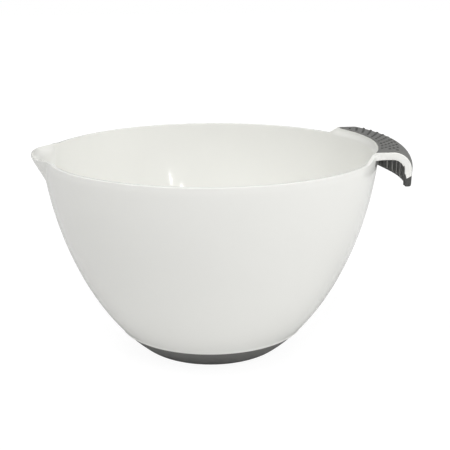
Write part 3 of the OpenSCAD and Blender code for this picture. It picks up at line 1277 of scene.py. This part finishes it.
LAMPS = (
    AreaLamp("key_lamp", (1.5, -1.6, 1.0), (2.0, 2.0), 11.4),
    AreaLamp("side_lamp", (2.0, 0.2, 0.8), (1.6, 1.6), 10.2),
    AreaLamp("high_lamp", (0.3, -1.3, 2.2), (2.0, 2.0), 28.8),
    AreaLamp("front_lamp", (0.3, -1.9, 1.4), (2.0, 2.0), 3.5),
    AreaLamp("left_lamp", (-1.3, -0.2, 1.9), (1.8, 1.8), 24.0),
    AreaLamp("streak_glint", (0.665, -1.27, 0.6), (0.026, 0.075), 0.27, in_gloss=True),
    AreaLamp("dot_glint", (0.455, -1.32, 0.686), (0.025, 0.02), 0.17, in_gloss=True))


@dataclass
class Studio:
    """White floor, soft lamps and the camera at the photograph's angle."""

    lamps: tuple[AreaLamp, ...] = LAMPS
    view_distance: float = 700.0 * MM
    view_height: float = 281.3 * MM
    view_turn: float = math.radians(7.2)
    view_yaw: float = 0.01432
    view_pitch: float = 0.26648
    view_roll: float = -0.00413
    focal_px: float = 1002.4
    frame_px: float = 450.0
    sensor_mm: float = 36.0
    white: tuple[float, float, float, float] = (1.0, 1.0, 1.0, 1.0)
    ambient: float = 0.1
    gloss_more: float = 0.15
    paper: tuple[float, float, float, float] = (0.85, 0.85, 0.85, 1.0)
    glow: float = 1.1
    glow_share: float = 0.85
    glow_near: float = 0.3
    glow_far: float = 0.9
    floor_size: float = 8.0

    def camera(self) -> None:
        """Adds the camera: the fitted distance, height, yaw, pitch and roll, turned about the bowl's axis."""
        heading = self.view_turn + self.view_yaw
        place = Vector((-math.sin(self.view_turn), -math.cos(self.view_turn), 0.0)) * self.view_distance
        place.z = self.view_height
        level = Vector((math.sin(heading), math.cos(heading), 0.0))
        right = Vector((level.y, -level.x, 0.0))
        ahead = level * math.cos(self.view_pitch) - Vector((0.0, 0.0, math.sin(self.view_pitch)))
        above = right.cross(ahead)
        tilt = Matrix.Rotation(-self.view_roll, 3, ahead)
        turn = Matrix((tilt @ right, tilt @ above, -ahead)).transposed()
        lens = bpy.data.cameras.new("photo_camera")
        lens.sensor_width = self.sensor_mm
        lens.lens = self.focal_px / self.frame_px * self.sensor_mm
        holder = bpy.data.objects.new("photo_camera", lens)
        holder.matrix_world = Matrix.Translation(place) @ turn.to_4x4()
        bpy.context.scene.collection.objects.link(holder)
        bpy.context.scene.camera = holder

    def world(self) -> None:
        """Adds the world: white to the camera, dim as a light, and a little lighter in the gloss."""
        scene = bpy.context.scene
        scene.view_settings.view_transform = "Standard"
        scene.world = bpy.data.worlds.new("studio_world")
        scene.world.use_nodes = True
        nodes, links = scene.world.node_tree.nodes, scene.world.node_tree.links
        sky = nodes["Background"]
        sky.inputs["Color"].default_value = self.white
        path = nodes.new("ShaderNodeLightPath")
        level = nodes.new("ShaderNodeMapRange")
        level.inputs["To Min"].default_value = self.ambient
        level.inputs["To Max"].default_value = 1.0
        gloss = nodes.new("ShaderNodeMath")
        gloss.operation = "MULTIPLY_ADD"
        gloss.inputs[1].default_value = self.gloss_more
        links.new(path.outputs["Is Camera Ray"], level.inputs["Value"])
        links.new(path.outputs["Is Glossy Ray"], gloss.inputs[0])
        links.new(level.outputs["Result"], gloss.inputs[2])
        links.new(gloss.outputs["Value"], sky.inputs["Strength"])

    def floor(self) -> None:
        """Adds the floor, a plain square of white paper that keeps the shadow."""
        half = self.floor_size / 2.0
        corners = [(-half, -half, 0.0), (half, -half, 0.0), (half, half, 0.0), (-half, half, 0.0)]
        mesh = bpy.data.meshes.new("studio_floor")
        mesh.from_pydata(corners, [], [(0, 1, 2, 3)])
        mesh.materials.append(self.floor_finish())
        floor = bpy.data.objects.new("studio_floor", mesh)
        bpy.context.scene.collection.objects.link(floor)

    def floor_finish(self) -> bpy.types.Material:
        """White paper: diffuse, with a white glow in camera rays that leaves a pale shadow near the object.

        Returns:
            The material. The glow's share eases from its own value near the object to all of it far away.
        """
        made = bpy.data.materials.new("studio_paper")
        made.use_nodes = True
        nodes, links = made.node_tree.nodes, made.node_tree.links
        nodes.remove(nodes["Principled BSDF"])
        paper = nodes.new("ShaderNodeBsdfDiffuse")
        paper.inputs["Color"].default_value = self.paper
        glow = nodes.new("ShaderNodeEmission")
        glow.inputs["Strength"].default_value = self.glow
        path = nodes.new("ShaderNodeLightPath")
        places = nodes.new("ShaderNodeTexCoord")
        reach = nodes.new("ShaderNodeVectorMath")
        reach.operation = "LENGTH"
        fade = nodes.new("ShaderNodeMapRange")
        fade.interpolation_type = "SMOOTHSTEP"
        fade.inputs["From Min"].default_value = self.glow_near
        fade.inputs["From Max"].default_value = self.glow_far
        fade.inputs["To Min"].default_value = self.glow_share
        share = nodes.new("ShaderNodeMath")
        share.operation = "MULTIPLY"
        mix = nodes.new("ShaderNodeMixShader")
        links.new(places.outputs["Object"], reach.inputs[0])
        links.new(reach.outputs["Value"], fade.inputs["Value"])
        links.new(path.outputs["Is Camera Ray"], share.inputs[0])
        links.new(fade.outputs["Result"], share.inputs[1])
        links.new(share.outputs["Value"], mix.inputs["Fac"])
        links.new(paper.outputs["BSDF"], mix.inputs[1])
        links.new(glow.outputs["Emission"], mix.inputs[2])
        links.new(mix.outputs["Shader"], nodes["Material Output"].inputs["Surface"])
        return made

    def build(self) -> None:
        """Builds the world, the floor, the lamps and the camera."""
        self.world()
        self.floor()
        for lamp in self.lamps:
            lamp.build()
        self.camera()


def measure() -> tuple[WallCurve, Spout, Hook, float]:
    """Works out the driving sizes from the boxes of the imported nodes.

    The named lengths are what the boxes don't say: the handle's rise above the plain rim, the fall from the
    rim's radius to the rounded lip's widest point, the bow of the CAD's tip, and the spout's reach beyond
    the CAD's.

    Returns:
        The wall curve, the spout, the hook, and the soft foot's thickness.
    """
    bowl_low, bowl_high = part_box(Node.BOWL.value)
    grip_low, grip_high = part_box(Node.GRIP.value)
    handle_rise = 4.85 * MM
    lip_fall = 0.1 * MM
    cad_bow = 3.2 * MM
    spout_more = 0.5 * MM
    rim_r = bowl_high.y + lip_fall
    wall = WallCurve(rim_r, grip_high.z - handle_rise)
    spout = Spout(-bowl_low.x - rim_r + spout_more)
    hook = Hook(grip_high.z, grip_high.x, grip_high.y - grip_low.y, rim_r, grip_low.z + cad_bow)
    return wall, spout, hook, bowl_low.z


def main() -> None:
    """Builds and dresses the three pieces, logs their counts of points and faces, and sets up the studio."""
    logging.basicConfig(level=logging.INFO, format="%(name)s: %(message)s")
    wall, spout, hook, soft_t = measure()
    for part in (Bowl(wall, spout, hook, soft_t), HandleGrip(hook), FootRing(wall, soft_t)):
        piece = part.build()
        part.dress(piece)
        LOG.info("%s: %d points, %d faces", piece.name, len(piece.data.vertices), len(piece.data.polygons))
    Studio().build()


if __name__ == "__main__":
    main()
